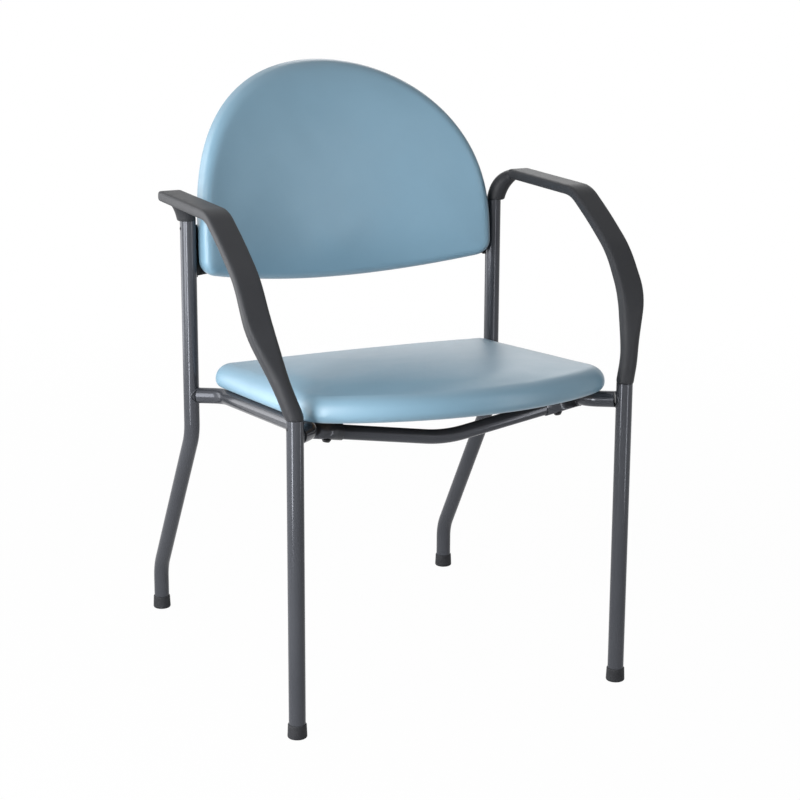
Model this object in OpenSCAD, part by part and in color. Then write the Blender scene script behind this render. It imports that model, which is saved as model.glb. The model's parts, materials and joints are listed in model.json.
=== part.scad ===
// Side chair with a round steel tube frame, moulded arms, an upholstered seat
// and a domed upholstered back. Millimetres, +Z up, the sitter faces -Y.
// The origin is on the floor under the middle of the chair.

/* [Frame tubes] */
// Outer diameter of the leg and rail tube
tube_d = 22.2; // [19:0.1:25]
// Wall of the leg and rail tube
tube_wall = 1.6; // [1.2:0.1:2.5]
// Distance between the left and the right leg centres
leg_track = 478; // [450:1:520]
// From the front legs back to the rear uprights
upright_set = 387; // [360:1:420]
// From the front feet back to the rear feet
foot_spread = 541; // [500:1:590]
// Bend radius of the rear legs, on the tube centre line
leg_bend_r = 60; // [45:1:75]
// From the rail's centre down to where the upright turns into the slanted leg
upper_bend_drop = 57.5; // [45:0.5:90]
// Height where the slanted leg turns upright again
lower_bend_z = 66; // [60:1:90]
// How far the front tube rises above the rail's centre
front_leg_rise = 23; // [18:0.5:45]
// How far the upright rises above the rail's centre
upright_rise = 250.5; // [230:0.5:280]

/* [Seat rails] */
// How far the rail runs inboard of the legs
rail_inset = 37; // [30:1:44]
// Height of the rail centre at the upright
rail_rear_z = 368.5; // [340:0.5:400]
// How much higher the rail centre is at the front leg
rail_rise = 34.5; // [20:0.5:45]
// Bend radius of the rail, on its centre line
rail_bend_r = 40; // [32:1:48]
// Turn of the rail towards each leg, in degrees
rail_turn = 45; // [38:1:55]

/* [Crossbars] */
// Outer diameter of the crossbars
bar_d = 19.5; // [16:0.1:19.7]
// Wall of the crossbars
bar_wall = 1.5; // [1.2:0.1:2]
// Dip of each half of a crossbar, in degrees
bar_dip = 9.3; // [5:0.1:12]
// Bend radius at the middle of a crossbar
bar_bend_r = 180; // [120:1:240]
// Gap all round between a crossbar and its socket
bar_fit = 0.15; // [0.05:0.05:0.3]
// From the front legs back to the front crossbar
front_bar_set = 60; // [50:1:75]
// From the uprights forward to the rear crossbar
rear_bar_set = 60; // [50:1:80]
// Reach of a socket from the rail centre line
socket_reach = 53; // [45:1:65]
// Depth of the socket's end beyond which the crossbar stops
bar_insert = 38; // [25:1:42]
// How far the front sockets sit below the rail centre line
front_socket_drop = 3; // [0:0.5:5]
// How far the rear sockets sit below the rail centre line
rear_socket_drop = 0; // [0:0.5:5]

/* [Arms] */
// Width of the arm pad
arm_w = 35; // [30:0.5:38]
// Thickness of the arm pad
arm_t = 14.5; // [12:0.5:18]
// How far the top of the arm pad stands above the upright's end
arm_rise = 46.5; // [40:0.5:70]
// How far the arm pad sits outboard of the legs
arm_offset = 31.5; // [26:0.5:36]
// Diameter of the arm where it meets a tube
arm_end_d = 23.8; // [23.4:0.1:27]
// Set back of the arm's shin, where it leaves the front leg's line
arm_shin_set = 6.5; // [4:0.5:10]
// Set back of the arm's lower knee
arm_knee_set = 41; // [34:1:48]
// Set back of the arm's bow
arm_bow_set = 79; // [72:1:88]
// Set back of the arm's shoulder, between bow and kink
arm_shoulder_set = 133; // [125:1:140]
// Set back of the kink where the flat pad begins
arm_kink_set = 184; // [170:1:200]
// Distance from the pad's rear end to the upright centre
arm_rear_gap = 13; // [12:1:22]
// Edge radius of the arm pad
arm_edge_r = 4; // [3:0.5:6]

/* [Seat] */
// Gap between the seat and a front leg
seat_gap = 7.3; // [4:0.1:20]
// How far each side of the seat draws in towards the back edge
seat_taper = 2.3; // [0:0.1:15]
// How far the seat's nose stands in front of the front legs
seat_nose = 75.5; // [60:0.5:95]
// Radius of the curved front edge in plan
seat_front_r = 337; // [290:1:420]
// Radius of the front corners in plan
seat_corner_r = 60; // [50:1:75]
// Radius of the back corners in plan
seat_rear_corner_r = 24; // [20:1:50]
// From the seat's back edge to the uprights
seat_rear_gap = 26.5; // [18:0.5:40]
// Thickness of the seat at its rim
seat_t = 39; // [34:1:50]
// Crown of the seat above its rim
seat_crown = 6; // [2:0.5:12]
// Thickness of the plywood seat board
board_t = 12; // [9:0.5:15]
// Rim from the cushion's edge to the board's edge
board_rim = 28; // [26:1:32]

/* [Back] */
// Gap between the back and an upright
back_gap = 3.9; // [3:0.1:12]
// From the upright's end down to the widest line of the back
back_drop = 43; // [30:1:50]
// Height of the dome above the widest line
back_dome = 247; // [200:0.5:270]
// From the widest line down to the bottom edge at the middle
back_skirt = 63; // [58:1:72]
// Radius of the lower corners
back_corner_r = 25; // [15:1:34]
// How far the bottom edge hangs below its corners
back_bow = 30.5; // [20:0.5:40]
// Thickness of the back with its shell
back_t = 48; // [40:1:56]
// Depth of the hollow across the back's width
back_hollow = 55; // [30:1:60]
// Lean of the back, in degrees
back_lean = 4.5; // [2:0.5:8]
// How far the top rolls back beyond its lean
back_roll = 48; // [20:1:50]
// From the uprights back to the back's mid depth
back_set = 46; // [44:1:56]
// Thickness of the rear shell
shell_t = 5; // [3:0.5:7]

/* [Feet] */
// Diameter of a foot cap at the floor
foot_d = 26; // [25:0.5:30]
// Diameter of a foot cap at its upper rim
foot_top_d = 24.6; // [23.8:0.1:26]
// Height of a foot cap
foot_h = 19; // [15:0.5:24]
// Thickness under the tube's end
foot_sole = 3.5; // [2.5:0.5:5]
// Edge radius of a foot cap at the floor
foot_edge_r = 2.5; // [1:0.5:3]

/* [Fasteners] */
// Shank diameter of the screws
screw_d = 6; // [5:0.5:7]
// Head diameter of the screws
screw_head_d = 12.5; // [11:0.5:14]
// Head height of the screws
screw_head_h = 3.2; // [2.6:0.1:5]
// Width of the hexagon recess in a screw head
screw_hex = 4; // [3:0.5:5]
// Diameter of the plugs that join arm and tube
plug_d = 18.6; // [16:0.1:18.8]
// Diameter of the plug's neck in the arm
plug_neck_d = 12; // [9:0.5:13]
// Depth of a plug in the tube
plug_in_tube = 30; // [20:1:40]
// Depth of a plug in the arm
plug_in_arm = 10; // [7:0.5:11]
// Shank diameter of the pins that hold the plugs
pin_d = 3; // [2.5:0.1:4]
// Head diameter of the pins
pin_head_d = 4.6; // [4.2:0.1:6]
// How far below the arm's end a pin sits
pin_drop = 11; // [8:0.5:15]

/* [Hidden] */
$fn = 64;
over = 1;
weld_gap = 0.05;
weld_reach = 0.3;
weld_hair = 0.05;
right_angle = 90;
fit_gap = 0.15;
soft_gap = 0.3;
hole_gap = 0.2;

tube_r = tube_d / 2;
bore_r = tube_r - tube_wall;
bar_r = bar_d / 2;
leg_x = leg_track / 2;

// Heights
rail_front_z = rail_rear_z + rail_rise;
front_leg_top = rail_front_z + front_leg_rise;
upright_top = rail_rear_z + upright_rise;
upper_bend_z = rail_rear_z - upper_bend_drop;
arm_top_z = upright_top + arm_rise;
back_wide_z = upright_top - back_drop;
back_top_z = back_wide_z + back_dome;
back_bottom_z = back_wide_z - back_skirt;

// Rear leg: two equal and opposite bends join two upright runs to a slanted one.
leg_turn = atan2(foot_spread - upright_set, upper_bend_z - lower_bend_z);
leg_tangent = leg_bend_r * tan(leg_turn / 2);
leg_slant = (upper_bend_z - lower_bend_z) / cos(leg_turn) - 2 * leg_tangent;

// Seat rail: it lies in a plane that climbs towards the front.
rail_slope = atan2(rail_rise, upright_set);
rail_span = norm([upright_set, rail_rise]);
rail_tangent = rail_bend_r * tan(rail_turn / 2);
rail_end = rail_inset / sin(rail_turn) - rail_tangent;
rail_run = rail_span - 2 * rail_inset / tan(rail_turn) - 2 * rail_tangent;
rail_x = leg_x - rail_inset;

function rail_z(y) = rail_front_z - rail_rise * y / upright_set;

// Sockets and crossbars share one axis a side.
front_bar_y = front_bar_set;
rear_bar_y = upright_set - rear_bar_set;
socket_r = tube_r;
socket_bore_r = bar_r + bar_fit;
bar_start = rail_x - socket_reach * cos(bar_dip) + bar_insert * cos(bar_dip);
bar_tangent = bar_bend_r * tan(bar_dip);
bar_run = bar_start / cos(bar_dip) - bar_tangent;

function socket_z(y) = rail_z(y) - (y == front_bar_y ? front_socket_drop : rear_socket_drop);
function bar_mid_z(y) = socket_z(y) - rail_x * tan(bar_dip);

socket_screw_share = 0.37;
socket_screw_x = rail_x - socket_reach * (1 - socket_screw_share) * cos(bar_dip);
socket_screw_l = 2 * tube_wall + 2 * bar_wall + screw_d;

// Seat plane: parallel to the rails, on tabs welded to their tops.
tab_t = 3;
tab_l = 34;
tab_margin = 14;
tab_corner_r = 8;
tab_hole_set = 22;
tab_hole_edge = 9;
tab_rise = 1.5;
seat_base = tube_r + tab_rise;
seat_screw_front_share = 0.27;
seat_screw_rear_share = 0.76;
seat_screw_l = tab_t + board_t - 2 * over;
seat_w = leg_track - tube_d - 2 * seat_gap;
seat_rear_w = seat_w - 2 * seat_taper;

// Cushion rim from underside to crown: inset and height as shares of the thickness
seat_under_l = 15.5;
seat_under_h = 14;
seat_edge_l = 23.5;
seat_edge_h = 22.5;
seat_under_steps = 3;
seat_edge_steps = 6;
seat_rim = concat(
    [for (i = [0 : seat_under_steps]) let (t = right_angle * i / seat_under_steps)
        [seat_under_l * (1 - sin(t)), seat_under_h * (1 - cos(t))]],
    [for (i = [0 : seat_edge_steps]) let (t = right_angle * i / seat_edge_steps)
        [seat_edge_l * (1 - cos(t)), seat_t - seat_edge_h * (1 - sin(t))]]
);

// The whole chair is shifted so that its depth is centred on the origin.
front_y = min([for (p = seat_rim)
    (p[0] - seat_nose) * cos(rail_slope) + (seat_base + soft_gap + p[1]) * sin(rail_slope)]);
rear_y = foot_spread + foot_d / 2;
shift_y = -(front_y + rear_y) / 2;

seat_rear_y = upright_set - seat_rear_gap;

// Back brackets
bracket_below = 39;
bracket_above = 32;
bracket_low_z = back_wide_z - bracket_below;
bracket_high_z = back_wide_z + bracket_above;
bracket_t = 4;
bracket_land = 22;
bracket_corner_r = 16;
bracket_wrap = 90;
bracket_wrap_start = 75;
bracket_h = bracket_high_z - bracket_low_z;
bracket_screw_share = 0.22;
bracket_screw_turn = 105;
bracket_screw_l = bracket_t + tube_wall;

// Colours as they look in the photograph
frame_colour = [0.30, 0.31, 0.33];
arm_colour = [0.27, 0.28, 0.29];
pad_colour = [0.60, 0.71, 0.78];
black_colour = [0.12, 0.12, 0.13];
steel_colour = [0.45, 0.46, 0.48];
wood_colour = [0.72, 0.60, 0.42];

// Small vector helpers
function unit(v) = v / norm(v);
function mix(a, b, t) = a + (b - a) * t;
function clamp01(t) = max(0, min(1, t));
function ease(t) = clamp01(t) * clamp01(t) * (3 - 2 * clamp01(t));

// Everything is drawn on the right-hand side and mirrored for the left.
module on_side(right = true) {
    translate([0, shift_y, 0])
        if (right) children();
        else mirror([1, 0, 0]) children();
}

module on_middle() {
    translate([0, shift_y, 0]) children();
}

// A tube path as a chain: each piece draws itself, then carries what follows
// to its end. The path heads along +Z, and a bend turns it towards +X. A run
// reaches into the bends beside it, and a bend's radius differs from the run's
// by a hair, so that they weld into one solid.
module run(r, l, lead = weld_reach, trail = weld_reach) {
    translate([0, 0, -lead]) cylinder(r = r, h = l + lead + trail);
    translate([0, 0, l]) children();
}

module bend(r, bend_r, turn) {
    rotate([0, 0, 180]) rotate([90, 0, 0]) translate([-bend_r, 0, 0])
        rotate_extrude(angle = turn) translate([bend_r, 0, 0]) circle(r = r);
    translate([bend_r * (1 - cos(turn)), 0, bend_r * sin(turn)])
        rotate([0, turn, 0]) children();
}

// A closed skin over a list of equal rings; other = true swaps the diagonals
module skin(rings, other = false) {
    n = len(rings[0]);
    m = len(rings);
    polyhedron(
        points = [for (ring = rings) each ring],
        faces = concat(
            [[for (i = [0 : n - 1]) i]],
            [for (j = [0 : m - 2], i = [0 : n - 1])
                [j * n + i, (j + 1) * n + i, other ? j * n + (i + 1) % n : (j + 1) * n + (i + 1) % n]],
            [for (j = [0 : m - 2], i = [0 : n - 1])
                [other ? (j + 1) * n + i : j * n + i, (j + 1) * n + (i + 1) % n, j * n + (i + 1) % n]],
            [[for (i = [n - 1 : -1 : 0]) (m - 1) * n + i]]
        )
    );
}

// Front leg: a plain upright tube
module front_leg() {
    color(frame_colour) difference() {
        translate([leg_x, 0, foot_sole]) cylinder(r = tube_r, h = front_leg_top - foot_sole);
        translate([leg_x, 0, foot_sole - over])
            cylinder(r = bore_r, h = front_leg_top - foot_sole + 2 * over);
        pin_axis(0, front_leg_top) cylinder(r = pin_d / 2 + hole_gap, h = tube_r);
    }
}

// Rear leg: foot, slanted run and upright, bent from one tube
module rear_leg_path(r, hair, past) {
    low = lower_bend_z - leg_tangent - foot_sole;
    high = upright_top - upper_bend_z - leg_tangent;
    translate([leg_x, foot_spread, foot_sole]) rotate([0, 0, -90])
        run(r, low, lead = past) bend(r + hair, leg_bend_r, leg_turn) run(r, leg_slant)
            rotate([0, 0, 180]) bend(r + hair, leg_bend_r, leg_turn) run(r, high, trail = past);
}

module rear_leg() {
    color(frame_colour) difference() {
        rear_leg_path(tube_r, weld_hair, 0);
        rear_leg_path(bore_r, -weld_hair, over);
        for (share = [bracket_screw_share, 1 - bracket_screw_share])
            bracket_screw_axis(share) cylinder(r = screw_d / 2 + hole_gap, h = bracket_t + tube_r);
        pin_axis(upright_set, upright_top) cylinder(r = pin_d / 2 + hole_gap, h = tube_r);
    }
}

// Side rail: it leaves the upright inboard, runs forward and turns back out
// to the front leg. Its ends are coped to the legs.
module rail_path(r, hair, past) {
    translate([leg_x, upright_set, rail_rear_z]) rotate([90 - rail_slope, 0, 0])
        rotate([0, 0, 180]) rotate([0, rail_turn, 0])
            run(r, rail_end, lead = past) rotate([0, 0, 180])
                bend(r + hair, rail_bend_r, rail_turn) run(r, rail_run)
                    bend(r + hair, rail_bend_r, rail_turn) run(r, rail_end, trail = past);
}

module leg_cope() {
    for (y = [0, upright_set])
        translate([leg_x, y, 0]) cylinder(r = tube_r + weld_gap, h = upright_top);
}

module side_rail() {
    color(frame_colour) difference() {
        rail_path(tube_r, weld_hair, 0);
        rail_path(bore_r, -weld_hair, over);
        leg_cope();
    }
}

// Socket axis: it starts on the rail and heads inboard and down.
module socket_axis(y) {
    translate([rail_x, y, socket_z(y)]) rotate([0, -90 - bar_dip, 0]) children();
}

module socket(y) {
    color(frame_colour) difference() {
        socket_axis(y) cylinder(r = socket_r, h = socket_reach);
        socket_axis(y) translate([0, 0, -over]) cylinder(r = socket_bore_r, h = socket_reach + 2 * over);
        rail_cope();
        socket_screw_axis(y) translate([0, 0, -over]) cylinder(r = screw_d / 2 + hole_gap, h = socket_r);
    }
}

// The rail's own path, as the cutter that fits a socket or a tab to it
module rail_cope() {
    rail_path(tube_r + weld_gap, weld_hair, 0);
}

// Screw axis of a socket: it points up, square to the socket, from its underside.
module socket_screw_axis(y) {
    translate([socket_screw_x, y, bar_mid_z(y) + socket_screw_x * tan(bar_dip)])
        rotate([0, -bar_dip, 0]) translate([0, 0, -socket_r]) children();
}

head_share = 0.72;
recess_share = 0.6;

module screw(l) {
    color(steel_colour) difference() {
        union() {
            cylinder(r = screw_d / 2, h = l);
            translate([0, 0, -screw_head_h]) cylinder(r1 = screw_head_d / 2 * head_share,
                r2 = screw_head_d / 2, h = screw_head_h);
        }
        translate([0, 0, -screw_head_h - over])
            cylinder(d = screw_hex, h = screw_head_h * recess_share + over, $fn = 6);
    }
}

module socket_screw(y) {
    socket_screw_axis(y) translate([0, 0, -fit_gap]) screw(socket_screw_l);
}

// Crossbar: a tube with a shallow dip at its middle
module bar_path(y, r, hair, past) {
    translate([-bar_start, y, bar_mid_z(y) + bar_start * tan(bar_dip)])
        rotate([0, 90 + bar_dip, 0]) run(r, bar_run, lead = past)
            rotate([0, 0, 180]) bend(r + hair, bar_bend_r, 2 * bar_dip)
                run(r, bar_run, trail = past);
}

module crossbar(y) {
    color(frame_colour) difference() {
        bar_path(y, bar_r, weld_hair, 0);
        bar_path(y, bar_r - bar_wall, -weld_hair, over);
        for (side = [0, 1]) mirror([side, 0, 0])
            socket_screw_axis(y) cylinder(r = screw_d / 2 + hole_gap, h = socket_r);
    }
}

// Arm: a flat bar that sweeps down to the front leg and grows round there
function arm_mid_z() = arm_top_z - arm_t / 2;

arm_neck = 3;
arm_shift = 0.5;
arm_shin_share = 0.3;
arm_shin_rise = 30;
arm_round_rise = 32;
arm_knee_share = 0.478;
arm_bow_share = 0.713;
arm_shoulder_share = 0.872;
arm_wide_share = 0.525;
arm_thin_share = 0.814;
arm_rounds = [2.9, 14, 24, 24, 22, 18];
arm_steps = 6;
arm_corner_points = 5;
arm_tail_shares = [0, 0.5, 0.8, 0.96];

function arm_z(share) = mix(front_leg_top, arm_mid_z(), share);

arm_corners = [
    [arm_shift, 0, front_leg_top],
    [arm_shift, 0, front_leg_top + arm_neck],
    [arm_offset * arm_shin_share, arm_shin_set, front_leg_top + arm_shin_rise],
    [arm_offset, arm_knee_set, arm_z(arm_knee_share)],
    [arm_offset, arm_bow_set, arm_z(arm_bow_share)],
    [arm_offset, arm_shoulder_set, arm_z(arm_shoulder_share)],
    [arm_offset, arm_kink_set, arm_mid_z()],
    [arm_offset, upright_set - arm_rear_gap - arm_t / 2, arm_mid_z()]
];

// A corner of a path, eased by a quadratic curve
function eased(a, b, c, l, n) =
    let (p = b - unit(b - a) * l, q = b + unit(c - b) * l)
    [for (i = [0 : n]) let (t = i / n) mix(mix(p, b, t), mix(b, q, t), t)];

arm_path = concat(
    [arm_corners[0]],
    [for (i = [1 : len(arm_rounds)])
        each eased(arm_corners[i - 1], arm_corners[i], arm_corners[i + 1],
            arm_rounds[i - 1], arm_steps)],
    [arm_corners[len(arm_corners) - 1]]
);

function heading(path, i) = unit(path[min(i + 1, len(path) - 1)] - path[max(i - 1, 0)]);

// Ring of a rounded rectangle: half width a along u, half thickness b along v
function ring(centre, u, v, a, b, r) =
    [for (k = [0 : 3], j = [0 : arm_corner_points - 1])
        let (
            t = right_angle * (k + (j + 0.5) / arm_corner_points),
            sa = (k == 0 || k == 3) ? 1 : -1,
            sb = (k < 2) ? 1 : -1
        )
        centre + u * (sa * (a - r) + r * cos(t)) + v * (sb * (b - r) + r * sin(t))];

function arm_ring(path, i, grow) =
    let (
        c = path[i],
        t = heading(path, i),
        u = unit([1, 0, 0] - t * t[0]),
        v = cross(t, u),
        low = front_leg_top + arm_round_rise,
        wide = ease((c[2] - low) / (arm_z(arm_wide_share) - low)),
        thin = ease((c[2] - low) / (arm_z(arm_thin_share) - low)),
        a = mix(arm_end_d, arm_w, wide) / 2 - grow,
        b = mix(arm_end_d, arm_t, thin) / 2 - grow,
        r = min(a, b, mix(arm_end_d / 2, arm_edge_r, wide))
    )
    ring(c, u, v, a, b, r);

module arm_bar() {
    last = len(arm_path) - 1;
    tail = [for (share = arm_tail_shares)
        let (
            c = arm_path[last] + [0, arm_t / 2 * share, 0],
            shrink = arm_t / 2 * (1 - sqrt(1 - share * share))
        )
        ring(c, [1, 0, 0], [0, 0, -1], arm_w / 2 - shrink, arm_t / 2 - shrink,
            max(arm_edge_r - shrink, over / 2))];
    skin(concat([for (i = [0 : last - 1]) arm_ring(arm_path, i, 0)], tail));
}

// Neck: it rises from the upright's top and bends outboard into the pad. Its outer
// and inner edges are curves in one upright plane, each given by three points.
neck_lean = 22;
neck_shift = 2.6;
neck_forward = 2.2;
neck_spread = 1.3;
neck_wide_share = 1;
neck_steps = 12;
neck_points = 20;

neck_r = arm_end_d / 2 + neck_spread;
neck_along = [cos(neck_lean), -sin(neck_lean), 0];
neck_across = [sin(neck_lean), cos(neck_lean), 0];
neck_outer = [[-neck_r, upright_top], [5 - neck_r, arm_top_z - 7], [0.78 * arm_offset, arm_top_z - 2]];
neck_inner = [[neck_r, upright_top], [neck_r + 5, mix(upright_top, arm_top_z - arm_t, 0.69)],
    [1.12 * arm_offset, arm_top_z - arm_t + 1]];

function curve(p, t) = mix(mix(p[0], p[1], t), mix(p[1], p[2], t), t);

module arm_neck() {
    skin([for (i = [0 : neck_steps])
        let (
            outer = curve(neck_outer, i / neck_steps),
            inner = curve(neck_inner, i / neck_steps),
            mid = (outer + inner) / 2,
            half = (outer - inner) / 2,
            centre = [neck_shift, upright_set - neck_forward, mid[1]] + neck_along * mid[0],
            u = neck_across * neck_r * mix(1, neck_wide_share, i / neck_steps),
            v = neck_along * half[0] + [0, 0, half[1]]
        )
        [for (j = [0 : neck_points - 1]) let (t = 4 * right_angle * (j + 0.5) / neck_points)
            centre + u * cos(t) + v * sin(t)]]);
}

module arm() {
    color(arm_colour) translate([leg_x, 0, 0]) difference() {
        union() {
            arm_bar();
            arm_neck();
        }
        translate([0, 0, front_leg_top - over])
            cylinder(r = plug_neck_d / 2 + fit_gap, h = plug_in_arm + over + fit_gap);
        translate([0, upright_set, upright_top - over])
            cylinder(r = plug_neck_d / 2 + fit_gap, h = plug_in_arm + over + fit_gap);
    }
}

// Plug: a turned steel peg, its body in the tube and its neck in the arm
plug_chamfer = 1.2;

module plug(y, z) {
    color(steel_colour) difference() {
        translate([leg_x, y, z - plug_in_tube]) rotate_extrude()
            polygon([[0, 0], [plug_d / 2 - plug_chamfer, 0], [plug_d / 2, plug_chamfer],
                [plug_d / 2, plug_in_tube - plug_chamfer], [plug_neck_d / 2, plug_in_tube],
                [plug_neck_d / 2, plug_in_tube + plug_in_arm - plug_chamfer],
                [plug_neck_d / 2 - plug_chamfer, plug_in_tube + plug_in_arm],
                [0, plug_in_tube + plug_in_arm]]);
        pin_axis(y, z) cylinder(r = pin_d / 2 + fit_gap, h = pin_l + fit_gap);
    }
}

// Pin: it holds a plug from the outboard side of the tube, with a low round head.
pin_l = 8;
pin_head_h = 0.8;

module pin_axis(y, z) {
    translate([leg_x + tube_r + fit_gap, y, z - pin_drop]) rotate([0, -90, 0]) children();
}

module pin(y, z) {
    head_r = pin_head_d / 2;
    color(steel_colour) pin_axis(y, z) rotate_extrude()
        polygon([[0, -pin_head_h], [head_r / 2, -pin_head_h * head_share], [head_r, 0],
            [pin_d / 2, 0], [pin_d / 2, pin_l], [0, pin_l]]);
}

// Foot cap: it covers the tube's end and widens slightly towards the floor
foot_lip = 1;

module foot(y) {
    cup = tube_r + fit_gap;
    low_r = foot_d / 2;
    top_r = foot_top_d / 2;
    color(black_colour) translate([leg_x, y, 0]) rotate_extrude() difference() {
        union() {
            polygon([[0, 0], [low_r - foot_edge_r, 0], [low_r, foot_edge_r],
                [top_r, foot_h - foot_lip], [top_r - foot_lip / 2, foot_h], [0, foot_h]]);
            intersection() {
                translate([low_r - foot_edge_r, foot_edge_r]) circle(r = foot_edge_r);
                square([low_r, foot_edge_r]);
            }
        }
        translate([0, foot_sole]) square([cup, foot_h]);
    }
}

// Seat outline moved in by d: right half from the nose to the back edge, then
// mirrored. Each corner keeps at least a small radius.
front_centre_y = -seat_nose + seat_front_r;
corner_x = seat_w / 2 - seat_corner_r;
corner_y = front_centre_y - sqrt(pow(seat_front_r - seat_corner_r, 2) - pow(corner_x, 2));
corner_turn = atan2(corner_x, front_centre_y - corner_y);
corner_least = 2;
seat_arc_steps = 7;
seat_corner_steps = 6;
seat_side_shares = [0.25, 0.5, 0.75];
seat_back_shares = [0.33, 0.66];

function seat_half_w(y) = mix(seat_w / 2, seat_rear_w / 2,
    (y - corner_y) / (seat_rear_y - seat_rear_corner_r - corner_y));

function seat_half(d) =
    let (r = max(seat_rear_corner_r, d + corner_least), x = seat_rear_w / 2 - r, y = seat_rear_y - r)
    concat(
        [for (i = [0 : seat_arc_steps]) let (t = corner_turn * i / seat_arc_steps)
            [(seat_front_r - d) * sin(t), front_centre_y - (seat_front_r - d) * cos(t)]],
        [for (i = [1 : seat_corner_steps]) let (t = mix(corner_turn, right_angle, i / seat_corner_steps))
            [corner_x + (seat_corner_r - d) * sin(t), corner_y - (seat_corner_r - d) * cos(t)]],
        [for (s = seat_side_shares) mix([seat_w / 2 - d, corner_y], [seat_rear_w / 2 - d, y], s)],
        [for (i = [0 : seat_corner_steps]) let (t = right_angle * i / seat_corner_steps)
            [x + (r - d) * cos(t), y + (r - d) * sin(t)]],
        [for (s = seat_back_shares) [x * (1 - s), seat_rear_y - d]],
        [[0, seat_rear_y - d]]
    );

function seat_line(d) = let (half = seat_half(d))
    concat(half, [for (i = [len(half) - 2 : -1 : 1]) [-half[i][0], half[i][1]]]);

seat_mid = [0, (seat_rear_y - seat_nose) / 2];

// Outline moved in by d, point by point along its own normals
function moved_in(line, d) =
    let (n = len(line))
    [for (i = [0 : n - 1])
        let (t = unit(line[(i + 1) % n] - line[(i + n - 1) % n]))
        line[i] + [-t[1], t[0]] * d];

function shrunk(line, mid, s) = [for (p = line) mid + (p - mid) * s];

function lifted(line, z) = [for (p = line) [p[0], p[1], z]];

// Seat plane: its origin is the rails' centre line at the front legs.
module on_seat_plane() {
    translate([0, 0, rail_front_z]) rotate([-rail_slope, 0, 0]) children();
}

seat_crown_shares = [0.78, 0.55, 0.3, 0.1];

module seat_cushion_body() {
    inner = seat_line(seat_edge_l);
    skin(concat(
        [for (p = seat_rim) lifted(seat_line(p[0]), seat_base + soft_gap + p[1])],
        [for (s = seat_crown_shares)
            lifted(shrunk(inner, seat_mid, s), seat_base + soft_gap + seat_t + seat_crown * (1 - s * s))]
    ));
}

module seat_board_body(rim, t, drop) {
    translate([0, 0, seat_base - drop]) linear_extrude(height = t + drop)
        polygon(seat_line(rim));
}

module seat_cushion() {
    color(pad_colour) on_seat_plane() difference() {
        seat_cushion_body();
        seat_board_body(board_rim - soft_gap, board_t + soft_gap, over);
    }
}

module seat_board() {
    color(wood_colour) difference() {
        on_seat_plane() seat_board_body(board_rim, board_t, 0);
        for (side = [0, 1]) mirror([side, 0, 0])
            for (share = [seat_screw_front_share, seat_screw_rear_share])
                seat_screw_axis(share) translate([0, 0, -over])
                    cylinder(r = screw_d / 2 + fit_gap, h = board_t);
    }
}

// Seat screw axis: square to the seat plane, through a tab, at the board's underside
// It lies inboard of the rail and inside the board's edge.
function tab_hole_x(share) = min(rail_x - tab_hole_set,
    seat_half_w(rail_span * share) - board_rim - tab_hole_edge);

module seat_screw_axis(share) {
    on_seat_plane() translate([tab_hole_x(share), rail_span * share, seat_base]) children();
}

module seat_screw(share) {
    seat_screw_axis(share) translate([0, 0, -tab_t - fit_gap]) screw(seat_screw_l);
}

// Plate outline that reaches from x = 0 towards -X, with round far corners
module tongue(l, w, r) {
    translate([r - l, -w / 2]) square([l - r, w]);
    translate([-l, r - w / 2]) square([l, w - 2 * r]);
    for (side = [-1, 1]) translate([r - l, side * (w / 2 - r)]) circle(r = r);
}

// Seat tab: a plate that reaches inboard from the top of the rail
module seat_tab(share) {
    color(frame_colour) difference() {
        seat_screw_axis(share) translate([rail_x - tab_hole_x(share), 0, -tab_t])
            linear_extrude(height = tab_t - weld_gap)
                tongue(rail_x - tab_hole_x(share) + tab_margin, tab_l, tab_corner_r);
        rail_cope();
        seat_screw_axis(share) translate([0, 0, -tab_t - over])
            cylinder(r = screw_d / 2 + hole_gap, h = tab_t + 2 * over);
    }
}

// Back outline: a dome on a gently bowed bottom edge, in its own x and z
back_half_w = leg_x - tube_r - back_gap;
back_edge_share = 0.66;
shell_rim_share = 0.48;
back_edge_r = back_edge_share * back_corner_r;
shell_rim = shell_rim_share * back_corner_r;
back_power = 2.07;
back_rise_power = 2.6;
back_dome_steps = 14;
back_corner_steps = 5;
back_bottom_shares = [0.75, 0.5, 0.25];
back_fall = atan(2 * back_bow * (back_half_w - back_corner_r) / pow(back_half_w, 2));
back_join_x = back_half_w - back_corner_r * (1 - sin(back_fall));

function back_low_z(x) = back_bottom_z + back_bow * pow(x / back_half_w, 2);

back_corner_z = back_low_z(back_join_x) + back_corner_r * cos(back_fall);

back_half = concat(
    [for (i = [0 : back_corner_steps]) let (t = mix(back_fall, right_angle, i / back_corner_steps))
        [back_half_w - back_corner_r * (1 - sin(t)), back_corner_z - back_corner_r * cos(t)]],
    [for (i = [0 : back_dome_steps - 1]) let (t = right_angle * i / back_dome_steps)
        [back_half_w * pow(cos(t), 2 / back_power),
         back_wide_z + (back_top_z - back_wide_z) * pow(sin(t), 2 / back_rise_power)]],
    [[0, back_top_z]]
);
back_right = concat([for (s = [0, each [for (i = [2 : -1 : 0]) back_bottom_shares[i]]])
    [back_join_x * s, back_low_z(back_join_x * s)]], back_half);
back_outline = concat(back_right,
    [for (i = [len(back_right) - 2 : -1 : 1]) [-back_right[i][0], back_right[i][1]]]);
back_mid_share = 0.42;
back_mid = [0, mix(back_bottom_z, back_top_z, back_mid_share)];
back_ref_rise = 20;
back_ref_z = back_wide_z + back_ref_rise;
back_flat_share = 0.14;

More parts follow.
